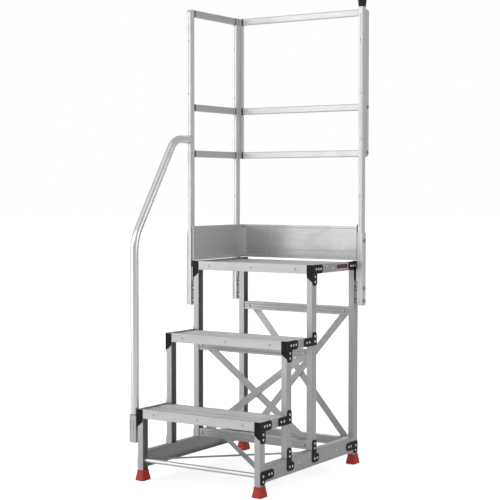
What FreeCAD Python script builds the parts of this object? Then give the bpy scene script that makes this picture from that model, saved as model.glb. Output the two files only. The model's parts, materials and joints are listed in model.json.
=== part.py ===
import FreeCAD, Part
import math
import os
from FreeCAD import Vector

# Three-step aluminium work platform with a two-sided guard and a stair handrail.
# Working frame: X across the steps, Y from the front step to the back, Z up from the floor, millimetres.
# Y is 0 at the front face of the front legs here; save() moves the origin to the middle of the depth.

os.makedirs("parts", exist_ok=True)

# ---- driving dimensions -------------------------------------------------------------------------
frame_width = 605.0          # over the outer faces of the two side frames
step_rise = 300.0
step_going = 202.0
frame_depth = 805.0          # front face of the front legs to the rear face of the rear legs
leg_width = 26.5             # along X
leg_depth = 36.5             # along Y
wall = 2.5                   # of legs, beams and side rails
rail_height = 38.0           # side rails beside the treads
surface_drop = 8.0           # walking surface below the top of the side rails
skin = 3.0                   # thickness of a tread plank's top
rib_height = 1.2
rib_width = 3.0
rib_pitch = 8.0
tread_depth = 228.0
nosing_depth = 14.0          # raised strip along the front edge of a tread
beam_bottom = 56.0
beam_top = 124.0
foot_height = 44.0
foot_flare = 9.0
bracket_thickness = 2.6
bracket_corner = 14.0        # radius of a bracket arm's round corners
plank_gap = 0.6
stiffener_depth = 16.0       # of the webs under a plank
stiffener_thickness = 2.2
fit_gap = 0.5                # between a tread and the legs or webs beside it
screw_places_x = (-219.5, 0.0, 219.5)
screw_drop = 19.0            # of the tread screws below the top of the nosing
guard_top = 2002.0
mid_rail_top = 1590.0
low_rail_top = 1387.0
guard_rail_height = 30.0
post_inner = 318.0           # inner face of a guard post, from the centre plane
post_width = 21.0            # along X
post_depth = 31.0            # along Y
socket_bottom = 705.0
socket_top = 1025.0
socket_bolt_heights = (725.0, 780.0, 990.0)
toe_board_bottom = 903.0
toe_board_top = 1053.0
handrail_radius = 17.0
handrail_y = 16.0
handrail_height = 1433.0     # centre line of the level stretch
lower_tie_bottom = 124.0     # cross tie on the third pair of legs
upper_tie_bottom = 509.0
rear_lower_tie_bottom = 78.0
rear_upper_tie_bottom = 661.0
tie_height = 36.0
brace_width = 30.0

half = frame_width / 2
inner = half - leg_width
web = half - wall            # inner face of the outer web
seat_drop = surface_drop + skin
leg_fronts = (0.0, step_going, 2 * step_going, frame_depth - leg_depth)
leg_tops = (step_rise, 2 * step_rise, 3 * step_rise, 3 * step_rise)
platform_top = 3 * step_rise
post_centre_x = post_inner + post_width / 2
post_centres_y = (leg_fronts[2] + leg_depth / 2, leg_fronts[3] + leg_depth / 2)
post_outer = post_inner + post_width
back_guard_front = post_centres_y[1] + post_depth / 2
back_guard_depth = 21.0
back_guard_rear = back_guard_front + back_guard_depth
bolt_radius = 4.0
bolt_head_height = 5.5
bolt_tail = 8.0              # how far a bolt stands past the web it holds
origin_y = (back_guard_rear - foot_flare) / 2


# ---- helpers ------------------------------------------------------------------------------------
def box(x0, x1, y0, y1, z0, z1):
    return Part.makeBox(x1 - x0, y1 - y0, z1 - z0, Vector(x0, y0, z0))


def in_xy(z):
    return lambda a, b: Vector(a, b, z)


def in_xz(y):
    return lambda a, b: Vector(a, y, b)


def in_yz(x):
    return lambda a, b: Vector(x, a, b)


def outline(corners, place):
    """Closed wire through (a, b) or (a, b, radius) corners; a radius makes a tangent arc there."""
    flat = [Vector(c[0], c[1], 0) for c in corners]
    radii = [c[2] if len(c) > 2 else 0.0 for c in corners]
    stops = []
    for i, here in enumerate(flat):
        if radii[i] == 0.0:
            stops.append((here, None, here))
            continue
        back = (flat[i - 1] - here).normalize()
        ahead = (flat[(i + 1) % len(flat)] - here).normalize()
        half_angle = back.getAngle(ahead) / 2
        bisector = (back + ahead).normalize()
        cut = radii[i] / math.tan(half_angle)
        to_arc = radii[i] / math.sin(half_angle) - radii[i]
        stops.append((here + back * cut, here + bisector * to_arc, here + ahead * cut))
    edges = []
    for i, (enter, middle, leave) in enumerate(stops):
        if middle is not None:
            edges.append(Part.Arc(*[place(p.x, p.y) for p in (enter, middle, leave)]).toShape())
        following = stops[(i + 1) % len(stops)][0]
        if (following - leave).Length > 1e-6:
            edges.append(Part.makeLine(place(leave.x, leave.y), place(following.x, following.y)))
    return Part.Wire(edges)


def prism(corners, place, run, hollow=None):
    solid = Part.Face(outline(corners, place)).extrude(run)
    if hollow is not None:
        solid = solid.cut(Part.Face(outline(hollow, place)).extrude(run))
    return solid


def rectangle(a0, a1, b0, b1, radius=0.0):
    return [(a0, b0, radius), (a1, b0, radius), (a1, b1, radius), (a0, b1, radius)]


def tube_corners(a0, a1, b0, b1, radius, thickness):
    """Outer and inner corners of a rectangular tube's section."""
    inside = max(radius - thickness, 0.5)
    t = thickness
    return rectangle(a0, a1, b0, b1, radius), rectangle(a0 + t, a1 - t, b0 + t, b1 - t, inside)


def rod(centre, direction, radius, length):
    return Part.makeCylinder(radius, length, centre, direction)


def mirrored(shape):
    return shape.mirror(Vector(0, 0, 0), Vector(1, 0, 0))


def flipped_front_to_back(shape):
    return shape.mirror(Vector(0, frame_depth / 2, 0), Vector(0, 1, 0))


def on_side(shape, side):
    """side is 1 for the right of the part, -1 for the left."""
    return shape if side > 0 else mirrored(shape)


def hexagon(across_flats, height):
    """Hexagonal prism standing on the origin."""
    point = across_flats / math.sqrt(3)
    around = [math.radians(60 * i) for i in range(6)]
    corners = [(point * math.cos(a), point * math.sin(a)) for a in around]
    return prism(corners, in_xy(0), Vector(0, 0, height))


def hexagon_bolt(start, direction, across_flats, head, length, radius, nut_at=None):
    """Bolt whose head sits at start and whose shank runs against direction; nut_at places a nut."""
    made = hexagon(across_flats, head).fuse(rod(Vector(0, 0, -length), Vector(0, 0, 1), radius, length))
    if nut_at is not None:
        nut = hexagon(across_flats, head)
        nut.translate(Vector(0, 0, -nut_at - head))
        made = made.fuse(nut)
    made = made.removeSplitter()
    made.Placement = FreeCAD.Placement(start, FreeCAD.Rotation(Vector(0, 0, 1), direction))
    return made


def save(name, *shapes):
    whole = shapes[0] if len(shapes) == 1 else Part.makeCompound(list(shapes))
    placed = whole.copy()
    placed.translate(Vector(0, -origin_y, 0))
    placed.exportStep("parts/" + name + ".step")
    box_low, box_high = placed.BoundBox.ZMin, placed.BoundBox.ZMax
    cubic_cm = placed.Volume / 1000
    print(f"{name:28s} z {box_low:7.1f} {box_high:7.1f}  {cubic_cm:7.1f} cm3  solids {len(placed.Solids)}")


# ---- rivets of the black brackets, right side frame ----------------------------------------------
nosing_holes = [(30.0, -19.0), (49.5, -19.0), (69.0, -19.0), (21.5, -50.0), (21.5, -71.0)]
riser_holes = [(-46.0, -20.0), (-24.0, -20.0), (20.0, 1.0), (20.0, -20.0)]
stand_holes = [(20.0, 150.0), (20.0, 130.0), (20.0, 86.0), (41.5, 86.0)]
base_holes = [(21.0, 84.0), (21.0, 62.0), (64.0, 85.0), (84.0, 85.0)]


def rivet_places():
    places = []
    for i in range(3):
        places += [(leg_fronts[i] + y, leg_tops[i] + z) for y, z in nosing_holes]
    for i in (1, 2):
        places += [(leg_fronts[i] + y, leg_tops[i - 1] + z) for y, z in riser_holes]
        places += [(leg_fronts[i] + y, z) for y, z in stand_holes]
    places += base_holes
    places += [(frame_depth - y, z) for y, z in base_holes]
    places += [(frame_depth - y, platform_top + z) for y, z in nosing_holes]
    return places


rivet_radius = 2.5
rivet_hole_run = Vector(1, 0, 0)
drills = [rod(Vector(web - 4, y, z), rivet_hole_run, rivet_radius, leg_width) for y, z in rivet_places()]


def drilled(shape):
    """The shape with the rivet holes that fall on it."""
    near = [drill for drill in drills if drill.BoundBox.intersect(shape.BoundBox)]
    return shape.cut(near) if near else shape


def guard_bolt_holes(centre_y):
    start, run = web - bolt_tail, post_outer + 20.0 - web
    return [rod(Vector(start, centre_y, z), Vector(1, 0, 0), bolt_radius, run) for z in socket_bolt_heights]


def rivet(y, z):
    outside = half + bracket_thickness
    head_radius, head_height = 5.6, 2.2
    ball = (head_radius ** 2 + head_height ** 2) / (2 * head_height)
    dome = Part.makeSphere(ball, Vector(outside + head_height - ball, y, z))
    head = dome.common(rod(Vector(outside, y, z), rivet_hole_run, head_radius, head_height + 1))
    shank = rod(Vector(web, y, z), rivet_hole_run, rivet_radius, outside - web)
    tail = rod(Vector(web - 1.6, y, z), rivet_hole_run, 3.4, 1.6)
    return head.fuse([shank, tail]).removeSplitter()


# ---- side frames --------------------------------------------------------------------------------
def leg(front, bottom, top):
    """Channel leg, open towards the middle, its flanges cut down to seat the tread planks."""
    rear = front + leg_depth
    groove = 0.5
    corners = [(half, front, 1.2)]
    for y in (front + 7.0, rear - 8.4):
        corners += [(half, y), (half - groove, y + 0.5), (half - groove, y + 0.9), (half, y + 1.4)]
    corners += [(half, rear, 1.2), (inner, rear), (inner, rear - wall), (web, rear - wall)]
    corners += [(web, front + wall), (inner, front + wall), (inner, front)]
    solid = prism(corners, in_xy(bottom), Vector(0, 0, top - bottom))
    seat = box(inner - 1, web, front - 1, rear + 1, top - seat_drop, top + 1)
    return drilled(solid.cut(seat))


def bottom_beam():
    start = leg_depth
    corners = [(half, beam_bottom, 1.2)]
    for z in (beam_bottom + 4.0, beam_top - 5.4):
        corners += [(half, z), (half - 0.5, z + 0.5), (half - 0.5, z + 0.9), (half, z + 1.4)]
    corners += [(half, beam_top, 1.2), (inner, beam_top), (inner, beam_top - wall), (web, beam_top - wall)]
    corners += [(web, beam_bottom + wall), (inner, beam_bottom + wall), (inner, beam_bottom)]
    return drilled(prism(corners, in_xz(start), Vector(0, leg_fronts[3] - start, 0)))


def side_rail(start, end, top):
    """Rail beside a tread: a web that stands above the walking surface, and a ledge that carries it."""
    bottom = top - rail_height
    ledge = top - seat_drop
    corners = [(half, bottom, 1.2), (half, top, 1.0), (web, top, 1.0), (web, ledge), (inner, ledge)]
    corners += [(inner, ledge - wall), (web, ledge - wall), (web, bottom + wall)]
    corners += [(inner, bottom + wall), (inner, bottom)]
    return drilled(prism(corners, in_xz(start), Vector(0, end - start, 0)))


leg_names = ("front", "second", "third", "rear")
leg_bottoms = (12.0, beam_top, beam_top, 12.0)
side_names = {1: "right", -1: "left"}
legs_with_guard_posts = ("third_left", "rear_left", "rear_right")
for side, side_name in side_names.items():
    for name, front, bottom, top in zip(leg_names, leg_fronts, leg_bottoms, leg_tops):
        shape = leg(front, bottom, top)
        if f"{name}_{side_name}" in legs_with_guard_posts:
            shape = shape.cut(guard_bolt_holes(front + leg_depth / 2))
        save(f"leg_{name}_{side_name}", on_side(shape, side))
    save(f"bottom_beam_{side_name}", on_side(bottom_beam(), side))
    for i, name in enumerate(("lower_step_rail", "middle_step_rail", "platform_rail")):
        rail = side_rail(leg_fronts[i] + leg_depth, leg_fronts[i + 1], leg_tops[i])
        save(f"{name}_{side_name}", on_side(rail, side))


# ---- rubber feet --------------------------------------------------------------------------------
def foot(front):
    """Tapered rubber boot round the bottom of a leg, with a pin hole in its outer side."""
    def ring(spread, z):
        sides = rectangle(inner - spread, half + spread, front - spread, front + leg_depth + spread, 5.0)
        return outline(sides, in_xy(z))
    rings = [ring(foot_flare - 2.5, 0.0), ring(foot_flare, 4.0), ring(2.6, foot_height)]
    body = Part.makeLoft(rings, True, True)
    pocket = box(inner, half, front, front + leg_depth, leg_bottoms[0], foot_height + 1)
    pin_hole = rod(Vector(half, front + leg_depth / 2, 25.0), Vector(1, 0, 0), 3.6, 10.0)
    return body.cut(pocket).cut(pin_hole)


for side, side_name in side_names.items():
    save(f"foot_front_{side_name}", on_side(foot(leg_fronts[0]), side))
    save(f"foot_rear_{side_name}", on_side(foot(leg_fronts[3]), side))


# ---- treads and platform ------------------------------------------------------------------------
tread_half = web - fit_gap
between_legs = inner - fit_gap


def plank(start, end, top, front_edge=False, rear_edge=False):
    """Ribbed plank; the front one has the nosing and its skirt, the last one a rear skirt."""
    surface = top - surface_drop
    under = surface - skin
    corners = []
    if front_edge:
        corners += [(start, top - rail_height, 0.8), (start, top, 1.5), (start + nosing_depth, top, 1.5)]
        corners += [(start + nosing_depth + 5.0, surface)]
        rib_start = start + nosing_depth + 9.0
    else:
        corners += [(start, under - stiffener_depth), (start, surface)]
        rib_start = start + 3.5
    rib_count = int((end - 2.0 - rib_start) // rib_pitch)
    for i in range(rib_count):
        y = rib_start + i * rib_pitch
        corners += [(y, surface), (y + 0.5, surface + rib_height)]
        corners += [(y + rib_width - 0.5, surface + rib_height), (y + rib_width, surface)]
    bottom = top - rail_height + 4.0 if rear_edge else under - stiffener_depth
    thick = stiffener_thickness
    corners += [(end, surface), (end, bottom), (end - thick, bottom), (end - thick, under)]
    middle = (start + end) / 2
    corners += [(middle + thick / 2, under), (middle + thick / 2, under - stiffener_depth)]
    corners += [(middle - thick / 2, under - stiffener_depth), (middle - thick / 2, under)]
    if front_edge:
        corners += [(start + wall, under), (start + wall, top - rail_height)]
    else:
        corners += [(start + thick, under), (start + thick, under - stiffener_depth)]
    solid = prism(corners, in_yz(-tread_half), Vector(2 * tread_half, 0, 0))
    beyond = [box(between_legs, tread_half + 1, start - 1, end + 1, top - 60, under),
              box(-tread_half - 1, -between_legs, start - 1, end + 1, top - 60, under)]
    return solid.cut(beyond)


def planks(front, depth, top, count):
    width = depth / count
    made = []
    for i in range(count):
        end = front + (i + 1) * width
        last = i == count - 1
        made.append(plank(front + i * width, end if last else end - plank_gap, top, i == 0, last))
    return made


def screw_holes(front, top):
    return [rod(Vector(x, front - 1, top - screw_drop), Vector(0, 1, 0), 2.5, 8.0) for x in screw_places_x]


def tread(level):
    """Two planks, notched at the rear round the next pair of legs."""
    front = leg_fronts[level]
    notch_front = leg_fronts[level + 1] - fit_gap
    notch = box(between_legs, half, notch_front, notch_front + tread_depth, 0, platform_top)
    cutters = [notch, mirrored(notch)] + screw_holes(front, leg_tops[level])
    return [one.cut(cutters) for one in planks(front, tread_depth, leg_tops[level], 2)]


save("tread_lower", *tread(0))
save("tread_middle", *tread(1))
deck = planks(leg_fronts[2], frame_depth - leg_fronts[2], platform_top, 4)
save("platform_deck", *[one.cut(screw_holes(leg_fronts[2], platform_top)) for one in deck])


def tread_screw(x, front, z):
    shank = rod(Vector(x, front, z), Vector(0, 1, 0), 2.5, 9.0)
    head = Part.makeCone(4.6, 3.4, 2.0, Vector(x, front, z), Vector(0, -1, 0))
    recess = rod(Vector(x, front - 1.1, z), Vector(0, -1, 0), 1.6, 2.0)
    nut = hexagon(8.0, 4.0)
    turn = FreeCAD.Rotation(Vector(0, 0, 1), Vector(0, 1, 0))
    nut.Placement = FreeCAD.Placement(Vector(x, front + wall, z), turn)
    return shank.fuse([head, nut]).cut(recess).removeSplitter()


tread_screws = [tread_screw(x, front, top - screw_drop)
                for front, top in zip(leg_fronts[:3], leg_tops[:3]) for x in screw_places_x]


# ---- cross ties, front tube and braces ----------------------------------------------------------
tie_setback = wall + 0.5      # of a tie's front face from the front of its legs
tie_front_wall = 3.6
brace_bolt_radius = 3.0
third_braces = (262.0, 141.0, 530.0)      # bolt places: out from the centre, low end, high end
rear_braces = (250.0, 95.0, 679.0)


def cross_tie(leg_front, bottom):
    """Grooved channel between a pair of legs, open to the rear, its ends inside the legs."""
    front = leg_front + tie_setback
    rear = front + 30.0
    top = bottom + tie_height
    inside = front + tie_front_wall
    corners = [(front, bottom, 1.0), (rear, bottom), (rear, bottom + 2.2), (inside, bottom + 2.2)]
    corners += [(inside, top - 2.2), (rear, top - 2.2), (rear, top), (front, top, 1.0)]
    for drop in (9.0, 22.0):
        z = top - drop
        corners += [(front, z), (front + 1.6, z - 0.8), (front + 1.6, z - 3.2), (front, z - 4.0)]
    solid = prism(corners, in_yz(-web), Vector(2 * web, 0, 0))
    return solid.cut([rod(Vector(x, front - 1, z), Vector(0, 1, 0), brace_bolt_radius, 10.0)
                      for x, z in brace_bolt_places() if bottom < z < top])


def brace_bolt_places():
    places = []
    for reach, low, high in (third_braces, rear_braces):
        places += [(-reach, low), (-reach, high), (reach, low), (reach, high)]
    return places


save("tie_third_lower", cross_tie(leg_fronts[2], lower_tie_bottom))
save("tie_third_upper", cross_tie(leg_fronts[2], upper_tie_bottom))
save("tie_rear_lower", cross_tie(leg_fronts[3], rear_lower_tie_bottom))
save("tie_rear_upper", cross_tie(leg_fronts[3], rear_upper_tie_bottom))

tube_y, tube_z, tube_radius, tube_wall = leg_depth / 2, 84.5, 9.5, 1.6
front_tube = rod(Vector(-web, tube_y, tube_z), Vector(1, 0, 0), tube_radius, 2 * web)
front_bore = rod(Vector(-web, tube_y, tube_z), Vector(1, 0, 0), tube_radius - tube_wall, 2 * web)
save("front_tie_tube", front_tube.cut(front_bore))

brace_depth = 5.0
brace_wall = 1.6


def cross_brace(leg_front, ends, leans_right, order):
    """Shallow channel bar behind a pair of legs; order is 0 against them, 1 for the one behind."""
    reach, low, high = ends
    length = math.hypot(2 * reach, high - low)
    angle = math.degrees(math.atan2(high - low, 2 * reach))
    w, d, t, overhang = brace_width / 2, brace_depth, brace_wall, 11.0
    corners = [(0, -w), (d, -w), (d, -w + t), (t, -w + t), (t, w - t), (d, w - t), (d, w), (0, w)]
    bar = prism(corners, in_yz(-length / 2 - overhang), Vector(length + 2 * overhang, 0, 0))
    across = Vector(0, 1, 0)
    bar = bar.cut([rod(Vector(x, -1, 0), across, brace_bolt_radius, 9) for x in (-length / 2, length / 2)])
    bar.rotate(Vector(0, 0, 0), across, -angle)
    bar.translate(Vector(0, leg_front + leg_depth + order * brace_depth, (low + high) / 2))
    return bar if leans_right else mirrored(bar)


for name, leg_front, ends in (("third", leg_fronts[2], third_braces), ("rear", leg_fronts[3], rear_braces)):
    save(f"brace_{name}_rising_right", cross_brace(leg_front, ends, True, 0))
    save(f"brace_{name}_rising_left", cross_brace(leg_front, ends, False, 1))


def brace_bolts(leg_front, ends):
    """Bolt through tie and brace at each end of each bar, with a round spacer between the two."""
    reach, low, high = ends
    tie_front = leg_front + tie_setback
    tie_inside = tie_front + tie_front_wall
    back, across = Vector(0, -1, 0), Vector(0, 1, 0)
    made = []
    for x, z, order in ((-reach, low, 0), (reach, high, 0), (reach, low, 1), (-reach, high, 1)):
        brace_front = leg_front + leg_depth + order * brace_depth
        hold = brace_front + brace_wall - tie_front
        start = Vector(x, tie_front, z)
        made.append(hexagon_bolt(start, back, 10.0, 3.6, hold + 5.0, brace_bolt_radius, hold))
        sleeve = rod(Vector(x, tie_inside, z), across, 8.0, brace_front - tie_inside)
        made.append(sleeve.cut(rod(Vector(x, tie_inside, z), across, brace_bolt_radius, leg_depth)))
    return made


third_bolts = brace_bolts(leg_fronts[2], third_braces)
rear_bolts = brace_bolts(leg_fronts[3], rear_braces)
save("frame_screws", *tread_screws, *third_bolts, *rear_bolts)


def floor_brace(height, runs_right):
    """Flat bar lying level between the bottom beams, with a folded tab down to the beam's flange."""
    near, far = leg_depth + 12.0, 632.0
    reach = web - 10.0
    length = math.hypot(2 * reach, far - near)
    angle = math.degrees(math.atan2(far - near, 2 * reach))
    bar = box(-length / 2, length / 2, -12.5, 12.5, 0, 3.0)
    drop = height - beam_bottom - wall
    tabs = [box(-length / 2, -length / 2 + 3.0, -12.5, 12.5, -drop, 0),
            box(length / 2 - 3.0, length / 2, -12.5, 12.5, -drop, 0)]
    bar = bar.fuse(tabs).removeSplitter()
    bar.rotate(Vector(0, 0, 0), Vector(0, 0, 1), angle)
    bar.translate(Vector(0, (near + far) / 2, height))
    return bar if runs_right else mirrored(bar)


save("floor_brace_lower", floor_brace(80.0, True))
save("floor_brace_upper", floor_brace(83.2, False))


# ---- black corner brackets ----------------------------------------------------------------------
def side_plate(corners):
    return prism(corners, in_yz(half), Vector(bracket_thickness, 0, 0))


def nosing_bracket(front, top):
    """L-shaped plate on the side frame, folded round the front of the leg."""
    t, r = bracket_thickness, bracket_corner
    arm, drop = 85.0, 87.0
    side = side_plate([(front - t, top), (front + arm, top, r), (front + arm, top - rail_height, r),
                       (front + 38, top - rail_height, 4), (front + 38, top - drop, r),
                       (front + 2, top - drop, r), (front + 2, top - 76), (front - t, top - 71)])
    face = prism([(inner + 1, top), (half + t, top), (half + t, top - 71), (half - 6, top - 68, 3),
                  (inner + 1, top - 52, 2)], in_xz(front - t), Vector(0, t, 0))
    return side.fuse(face).removeSplitter()


def riser_bracket(front, top):
    """Plate that joins the rear of a tread's side rail to the next leg."""
    r = bracket_corner
    return side_plate([(front - 66, top - 2, 13), (front + 1, top - 2, 4), (front + 1, top + 20, r),
                       (front + 35.5, top + 20, r), (front + 35.5, top - 37, 8), (front - 66, top - 37, 13)])


def stand_bracket(front):
    """Plate that holds a leg on the bottom beam."""
    r = bracket_corner
    return side_plate([(front + 1, 166, r), (front + 35.5, 166, r), (front + 35.5, 106, 4),
                       (front + 56, 106, r), (front + 56, 70, 16), (front + 1, 70, 10)])


def base_bracket():
    """Plate that joins the bottom beam to the front leg."""
    return side_plate([(2, 104, 10), (102, 104, 17), (102, 67, 17), (38, 67, 3), (36, 48, 12), (2, 48, 12)])


right_corner = [nosing_bracket(leg_fronts[i], leg_tops[i]) for i in range(3)]
right_corner += [flipped_front_to_back(nosing_bracket(0.0, platform_top))]
right_joint = [riser_bracket(leg_fronts[i], leg_tops[i - 1]) for i in (1, 2)]
right_joint += [stand_bracket(leg_fronts[i]) for i in (1, 2)]
right_base = [base_bracket(), flipped_front_to_back(base_bracket())]
right_rivets = [rivet(y, z) for y, z in rivet_places()]
for name, pieces in (("tread_corner_brackets", right_corner), ("leg_joint_brackets", right_joint),
                     ("base_brackets", right_base)):
    save(name, *[on_side(drilled(piece), side) for side in side_names for piece in pieces])
save("bracket_rivets", *[on_side(piece, side) for side in side_names for piece in right_rivets])


# ---- guard posts and their sockets --------------------------------------------------------------
socket_inner, socket_outer = 316.5, 342.0
socket_half_depth = 17.5
clearance = 0.2
slot_half = 7.5
slot_centre = 328.0


def guard_socket(centre_y):
    """Extrusion that a guard post drops into, slotted down its front, with bolt holes through it."""
    a0, a1 = socket_inner, socket_outer
    c0, c1 = post_inner - clearance, post_outer + clearance
    f0, f1 = centre_y - socket_half_depth, centre_y + socket_half_depth
    p0, p1 = centre_y - post_depth / 2 - clearance, centre_y + post_depth / 2 + clearance
    corners = [(a0, f0, 1.5), (a0, f1, 1.5), (a1, f1, 1.5), (a1, f0, 1.5), (slot_centre + slot_half, f0)]
    corners += [(slot_centre + slot_half, p0), (c1, p0), (c1, p1), (c0, p1), (c0, p0)]
    corners += [(slot_centre - slot_half, p0), (slot_centre - slot_half, f0)]
    solid = prism(corners, in_xy(socket_bottom), Vector(0, 0, socket_top - socket_bottom))
    return solid.cut(guard_bolt_holes(centre_y))


def rounded_post(centre_y, top, front_round):
    """Tube with a solid head; front_round is the radius of the head's top front corner."""
    y0, y1 = centre_y - post_depth / 2, centre_y + post_depth / 2
    outer, bore = tube_corners(post_inner, post_outer, y0, y1, 2.5, 2.0)
    head_bottom = top - guard_rail_height
    tube = prism(outer, in_xy(socket_bottom + 1), Vector(0, 0, head_bottom - socket_bottom - 1), bore)
    head = prism([(y0, head_bottom), (y0, top, front_round), (y1, top), (y1, head_bottom)],
                 in_yz(post_inner), Vector(post_width, 0, 0))
    head = head.common(prism(outer, in_xy(head_bottom), Vector(0, 0, guard_rail_height)))
    return tube.fuse(head).removeSplitter().cut(guard_bolt_holes(centre_y))


front_y, rear_y = post_centres_y
save("guard_socket_front_left", mirrored(guard_socket(front_y)))
save("guard_socket_rear_left", mirrored(guard_socket(rear_y)))
save("guard_socket_rear_right", guard_socket(rear_y))
cap_bottom = guard_top + 8.0
save("guard_post_front_left", mirrored(rounded_post(front_y, guard_top, 17.0)))
save("guard_post_rear_left", mirrored(rounded_post(rear_y, guard_top, 1.0)))
save("guard_post_rear_right", rounded_post(rear_y, cap_bottom, 1.0))


def post_cap(centre_y):
    """Ribbed rubber cap, wider at its top."""
    def ring(spread, z):
        return outline(rectangle(post_inner - spread, post_outer + spread, centre_y - post_depth / 2 - spread,
                                 centre_y + post_depth / 2 + spread, 3.0 + spread), in_xy(z))
    layers = [(0.8, 0.0), (3.0, 14.0), (4.2, 34.0), (2.6, 40.0)]
    return Part.makeLoft([ring(spread, cap_bottom + z) for spread, z in layers], True, True)


save("post_cap", post_cap(rear_y))


# ---- guard rails --------------------------------------------------------------------------------
rail_tops = {"top": guard_top, "mid": mid_rail_top, "low": low_rail_top}
rail_corner = 5.0
rail_wall = 2.0
side_rail_start, side_rail_end = front_y + post_depth / 2, rear_y - post_depth / 2
upright_inner, upright_outer = 311.0, 343.0
for name, top in rail_tops.items():
    low = top - guard_rail_height
    outer, bore = tube_corners(-post_outer, -post_inner, low, top, rail_corner, rail_wall)
    run = Vector(0, side_rail_end - side_rail_start, 0)
    save(f"side_guard_rail_{name}", prism(outer, in_xz(side_rail_start), run, bore))
    outer, bore = tube_corners(back_guard_front, back_guard_rear, low, top, rail_corner, rail_wall)
    run = Vector(2 * upright_inner, 0, 0)
    save(f"back_guard_rail_{name}", prism(outer, in_yz(-upright_inner), run, bore))

upright_bolt_y = back_guard_front + back_guard_depth / 2
upright_bolt_heights = (mid_rail_top - guard_rail_height / 2, low_rail_top - guard_rail_height / 2 + 4.0)
upright_bolt_radius = 3.0


def back_upright():
    """End member of the back guard, its outer corners rounded, open at the bottom."""
    low = low_rail_top - guard_rail_height
    corners = [(upright_inner, low), (upright_outer, low, 14)]
    corners += [(upright_outer, guard_top, 14), (upright_inner, guard_top)]
    solid = prism(corners, in_xz(back_guard_front), Vector(0, back_guard_depth, 0))
    t = rail_wall
    bore = box(upright_inner + t, upright_outer - t, back_guard_front + t, back_guard_rear - t,
               low - 1, guard_top - 14)
    holes = [rod(Vector(upright_outer - 4, upright_bolt_y, z), Vector(1, 0, 0), upright_bolt_radius, 8.0)
             for z in upright_bolt_heights]
    return solid.cut([bore] + holes)


save("back_guard_upright_right", back_upright())
save("back_guard_upright_left", mirrored(back_upright()))


def socket_fasteners(centre_y):
    """Bolts through a socket, its post and the leg, with spacers and a packing block behind the socket."""
    made = []
    for z in socket_bolt_heights:
        start, outward = Vector(socket_outer, centre_y, z), Vector(1, 0, 0)
        at_leg = z < platform_top
        hold = socket_outer - web if at_leg else None
        length = hold + 7.0 if at_leg else socket_outer - socket_inner
        made.append(hexagon_bolt(start, outward, 13.0, bolt_head_height, length, bolt_radius, hold))
        if at_leg:
            spacer = rod(Vector(half, centre_y, z), outward, 11.0, socket_inner - half)
            made.append(spacer.cut(guard_bolt_holes(centre_y)))
    made.append(box(socket_inner - 6.0, socket_inner, centre_y - 14, centre_y + 14, 812, 875))
    return made


def upright_bolts():
    return [hexagon_bolt(Vector(upright_outer, upright_bolt_y, z), Vector(1, 0, 0), 10.0, 4.0, rail_wall,
                         upright_bolt_radius) for z in upright_bolt_heights]


right_fasteners = socket_fasteners(rear_y) + upright_bolts()
left_fasteners = right_fasteners + socket_fasteners(front_y)
save("guard_fasteners", *right_fasteners, *[mirrored(piece) for piece in left_fasteners])


# ---- toe boards ---------------------------------------------------------------------------------
board_inner = 303.0          # inner face of the left board, from the centre plane
board_thickness = 2.5
back_board_front = 797.0
board_lip = 9.0
board_head = socket_inner - board_inner      # the top edge reaches the guard sockets


def board_section(face, outward):
    """Section of a toe board: face is its walking-side face, outward is 1 or -1 along the section's axis."""
    t = board_thickness * outward
    low, high = toe_board_bottom, toe_board_top
    corners = [(face - board_lip * outward, low), (face + t, low), (face + t, high - 2.0)]
    corners += [(face + board_head * outward, high - 2.0), (face + board_head * outward, high), (face, high)]
    groove = face + outward
    for z in (high - 12.0, low + 38.0):
        corners += [(face, z + 1.2), (groove, z + 0.5), (groove, z - 0.5), (face, z - 1.2)]
    corners += [(face, low + 2.0), (face - board_lip * outward, low + 2.0)]
    return corners


left_start, left_end = leg_fronts[2], back_board_front + board_thickness
left_board = prism(board_section(-board_inner, -1), in_xz(left_start), Vector(0, left_end - left_start, 0))
lip_trim = box(-board_inner, -board_inner + board_lip + 1, back_board_front - board_lip - 0.5, left_end + 1,
               toe_board_bottom - 1, toe_board_bottom + 3)
save("toe_board_left", left_board.cut(lip_trim))
back_right = web
back_run = Vector(back_right + board_inner, 0, 0)
save("toe_board_back", prism(board_section(back_board_front, 1), in_yz(-board_inner), back_run))


def toe_board_fittings():
    """Riveted angle in the corner of the two boards, and a block between back board and socket."""
    low, high = toe_board_bottom + 6.0, toe_board_top - 16.0
    x0, y1, reach, t = -board_inner, back_board_front, 24.0, 2.0
    corners = [(x0, y1), (x0, y1 - reach), (x0 + t, y1 - reach), (x0 + t, y1 - t)]
    corners += [(x0 + reach, y1 - t), (x0 + reach, y1)]
    made = [prism(corners, in_xy(low), Vector(0, 0, high - low))]
    for z in (low + 18.0, high - 18.0):
        made.append(Part.makeCone(3.6, 2.2, 1.6, Vector(x0 + t, y1 - reach / 2 - 2, z), Vector(1, 0, 0)))
        made.append(Part.makeCone(3.6, 2.2, 1.6, Vector(x0 + reach / 2 + 2, y1 - t, z), Vector(0, -1, 0)))
    made.append(box(back_right, socket_inner, back_board_front - 1.0, back_board_front + 9.0,
                    toe_board_bottom, toe_board_top + 7.0))
    return made


save("toe_board_fittings", *toe_board_fittings())


# ---- stair handrail -----------------------------------------------------------------------------
slope = math.atan2(step_rise, step_going)
upper_corner_y = 302.0
handrail_x = -post_centre_x
lower_corner_z = handrail_height - (upper_corner_y - handrail_y) * math.tan(slope)
handrail_foot = 166.0
handrail_end_y = front_y - post_depth / 2
lower_bend, upper_bend = 180.0, 90.0


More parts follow.
